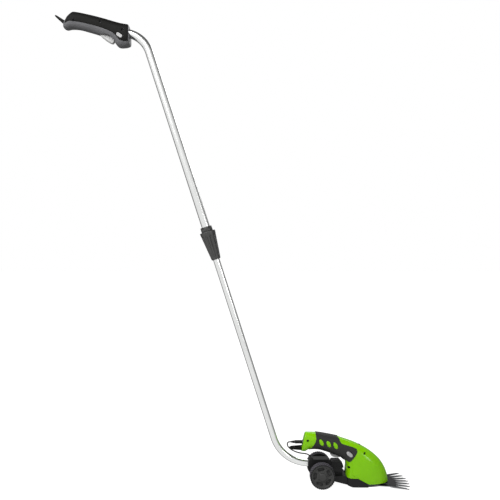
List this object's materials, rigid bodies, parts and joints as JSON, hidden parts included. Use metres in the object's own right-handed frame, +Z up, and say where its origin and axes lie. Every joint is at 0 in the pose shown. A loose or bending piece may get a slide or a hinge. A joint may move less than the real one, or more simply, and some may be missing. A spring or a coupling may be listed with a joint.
{
  "type": "cordless grass shears on a wheeled telescopic pole",
  "caption": "Cordless grass shears with a fanned comb blade, clipped in a wheeled carriage at the foot of a telescopic pole with a trigger handle.",
  "frame": {"origin": "on the flat under the shoe, in the middle plane, at the level the wheels stand on", "axes": "+X forwards along the blades, +Y to the far side, +Z up"},
  "size_m": [0.8825, 0.1038, 1.1736],
  "materials": {
    "tube_aluminium": "drawn tube, satin anodised",
    "black_plastic": "moulded, fine texture",
    "handle_plastic": "moulded, fine texture",
    "soft_grip": "overmoulded elastomer, fine texture",
    "green_plastic": "moulded, satin gloss",
    "pale_plastic": "moulded",
    "steel": "zinc plated",
    "blade_steel": "hardened, dark, ground edges",
    "brass": "cut teeth",
    "plate_aluminium": "stamped sheet",
    "lens": "clear tinted",
    "cell_wrap": "shrink wrap on a steel can",
    "board": "glass fibre laminate",
    "wheel_plastic": "moulded",
    "tyre": "moulded tread",
    "rubber": "flexible lead and gland"
  },
  "bodies": {
    "pole_handle": {"upper_tube": "tube_aluminium", "collar_collet": "black_plastic", "pole_handle_near": "handle_plastic", "pole_handle_far": "handle_plastic", "pole_cover_near": "soft_grip", "pole_cover_far": "soft_grip", "pole_hang_loop": "black_plastic", "handle_screws": "steel", "pole_trigger_pin": "steel", "pole_switch": "black_plastic", "pole_trigger_spring": "steel"},
    "carriage": {"lower_tube": "tube_aluminium", "guide_bush": "black_plastic", "shear_hang_loop": "black_plastic", "base_cover": "black_plastic", "shoe": "black_plastic", "carriage_near": "black_plastic", "carriage_far": "black_plastic", "shear_switch": "black_plastic", "charge_socket": "black_plastic", "lead_plug": "black_plastic", "grip_near": "soft_grip", "grip_far": "soft_grip", "shell_near": "green_plastic", "shell_far": "green_plastic", "shell_screws": "steel", "shear_trigger_pin": "steel", "axle": "steel", "axle_clips": "steel", "blade_pivot": "steel", "crank_stub": "steel", "motor_can": "steel", "release_spring": "steel", "shear_trigger_spring": "steel", "fixed_comb": "blade_steel", "sole_plate": "blade_steel", "gear_plate": "plate_aluminium", "status_lens": "lens", "battery_cell": "cell_wrap", "control_board": "board", "lead_gland": "rubber", "control_cord": "rubber"},
    "collar_nut": {"collar_nut": "black_plastic"},
    "pole_trigger": {"pole_trigger": "pale_plastic"},
    "pole_lock_button": {"pole_lock_button": "pale_plastic"},
    "wheel_near": {"wheel_near_rim": "wheel_plastic", "wheel_near_tyre": "tyre", "wheel_near_cap": "wheel_plastic"},
    "wheel_far": {"wheel_far_rim": "wheel_plastic", "wheel_far_tyre": "tyre", "wheel_far_cap": "wheel_plastic"},
    "release_button": {"release_button": "black_plastic"},
    "shear_trigger": {"shear_trigger": "pale_plastic"},
    "shear_lock_button": {"shear_lock_button": "pale_plastic"},
    "moving_knife": {"moving_knife": "blade_steel"},
    "crank_gear": {"crank_gear": "pale_plastic"},
    "pinion": {"pinion": "brass"}
  },
  "joints": [
    {"name": "telescope", "type": "slide", "parent": "pole_handle", "child": "carriage", "axis": [-0.3074, 0, 0.9516], "range_m": [0, 0.3]},
    {"name": "collar_twist", "type": "hinge", "parent": "pole_handle", "child": "collar_nut", "pos_m": [-0.34121, 0, 0.55651], "axis": [-0.3074, 0, 0.9516], "range_deg": [0, 90]},
    {"name": "pole_trigger_squeeze", "type": "hinge", "parent": "pole_handle", "child": "pole_trigger", "pos_m": [-0.62894, 0, 1.11994], "axis": [0, -1, 0], "range_deg": [0, 7], "stiffness_Nm_per_rad": 1.2, "springref_deg": -3.44, "deforming": ["pole_trigger_spring"]},
    {"name": "pole_lock_press", "type": "slide", "parent": "pole_handle", "child": "pole_lock_button", "axis": [0, 1, 0], "range_m": [0, 0.002], "stiffness_N_per_m": 600, "springref_m": -0.001},
    {"name": "wheel_near_spin", "type": "hinge", "parent": "carriage", "child": "wheel_near", "pos_m": [-0.081, -0.039, 0.0305], "axis": [0, 1, 0], "continuous": true},
    {"name": "wheel_far_spin", "type": "hinge", "parent": "carriage", "child": "wheel_far", "pos_m": [-0.081, 0.039, 0.0305], "axis": [0, 1, 0], "continuous": true},
    {"name": "release_press", "type": "slide", "parent": "carriage", "child": "release_button", "axis": [0, 0, -1], "range_m": [0, 0.0035], "stiffness_N_per_m": 900, "springref_m": -0.001, "deforming": ["release_spring"]},
    {"name": "shear_trigger_squeeze", "type": "hinge", "parent": "carriage", "child": "shear_trigger", "pos_m": [-0.02762, 0, 0.06955], "axis": [0, 1, 0], "range_deg": [0, 7], "stiffness_Nm_per_rad": 1.2, "springref_deg": -3.44, "deforming": ["shear_trigger_spring"]},
    {"name": "shear_lock_press", "type": "slide", "parent": "carriage", "child": "shear_lock_button", "axis": [0, 1, 0], "range_m": [0, 0.002], "stiffness_N_per_m": 600, "springref_m": -0.001},
    {"name": "knife_swing", "type": "hinge", "parent": "carriage", "child": "moving_knife", "pos_m": [0.008, 0, 0.0035], "axis": [0, 0, 1], "range_deg": [-3.7, 3.7]},
    {"name": "crank_spin", "type": "hinge", "parent": "carriage", "child": "crank_gear", "pos_m": [0.048, 0, 0.0152], "axis": [0, 0, 1], "continuous": true},
    {"name": "pinion_spin", "type": "hinge", "parent": "carriage", "child": "pinion", "pos_m": [0.028, 0, 0.0152], "axis": [0, 0, 1], "continuous": true}
  ],
  "couplings": [
    {"joint": "pinion_spin", "follows": "crank_spin", "ratio": -4}
  ]
}
